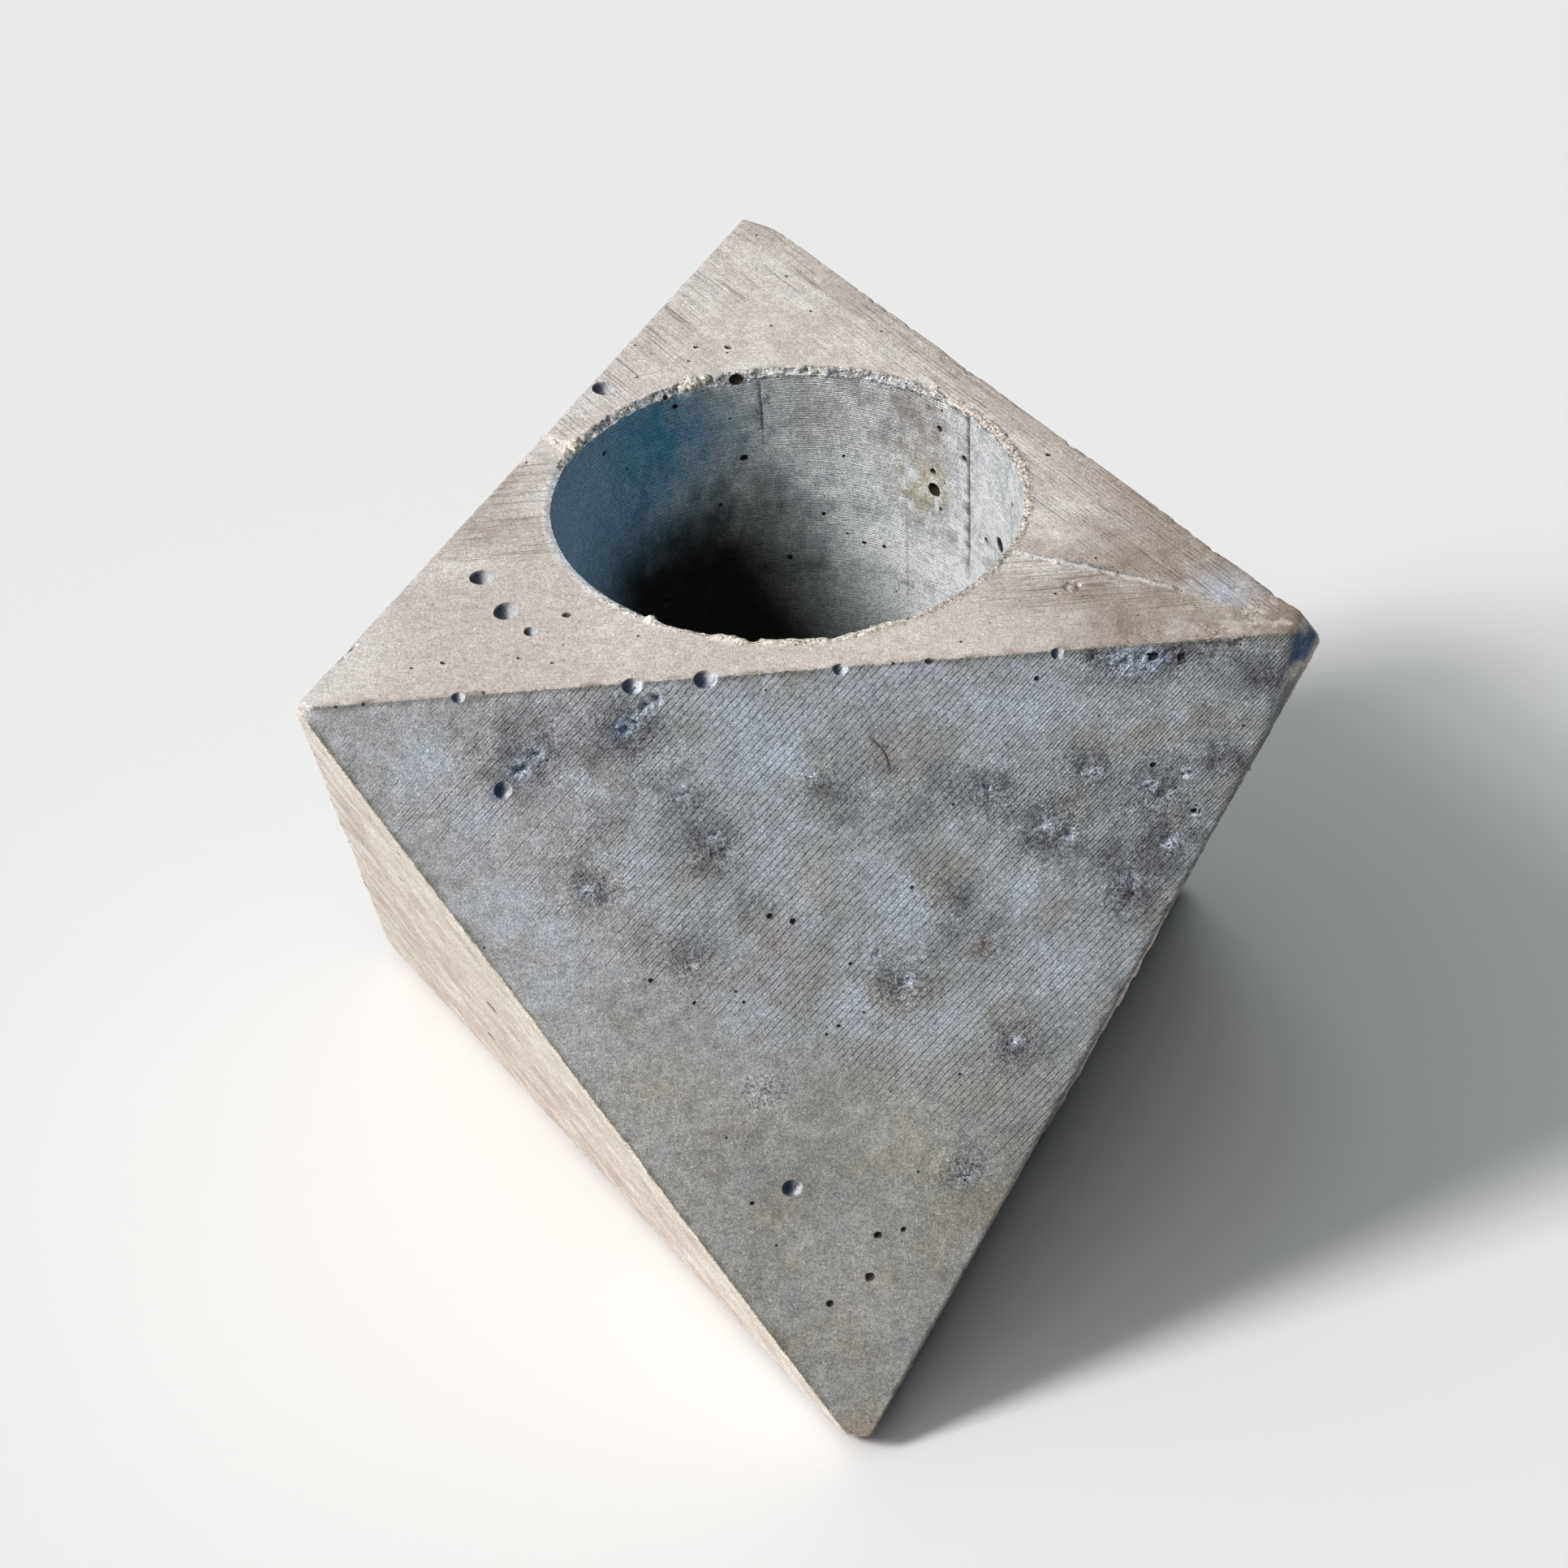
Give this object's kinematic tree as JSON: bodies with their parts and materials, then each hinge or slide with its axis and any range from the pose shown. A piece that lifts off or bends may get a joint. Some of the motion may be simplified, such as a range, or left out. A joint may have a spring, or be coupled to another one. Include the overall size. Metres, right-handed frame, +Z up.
{
  "type": "geometric planter",
  "caption": "Small octahedral concrete planter lying on one face, with a round planting well in its flat top and thin cork pads underneath.",
  "frame": {"origin": "on the table, under the middle of the planter, on the axis of the planting well", "axes": "+Z up, out of the planting well; the top arris that faces the viewer runs along X, with +X to the viewer's right; the viewer looks along +Y"},
  "size_m": [0.0864, 0.0984, 0.0716],
  "materials": {
    "concrete": "matte",
    "cork": "matte"
  },
  "bodies": {
    "root": {"planter_body": "concrete", "cork_pad_front": "cork", "cork_pad_back_left": "cork", "cork_pad_back_right": "cork"}
  },
  "joints": []
}
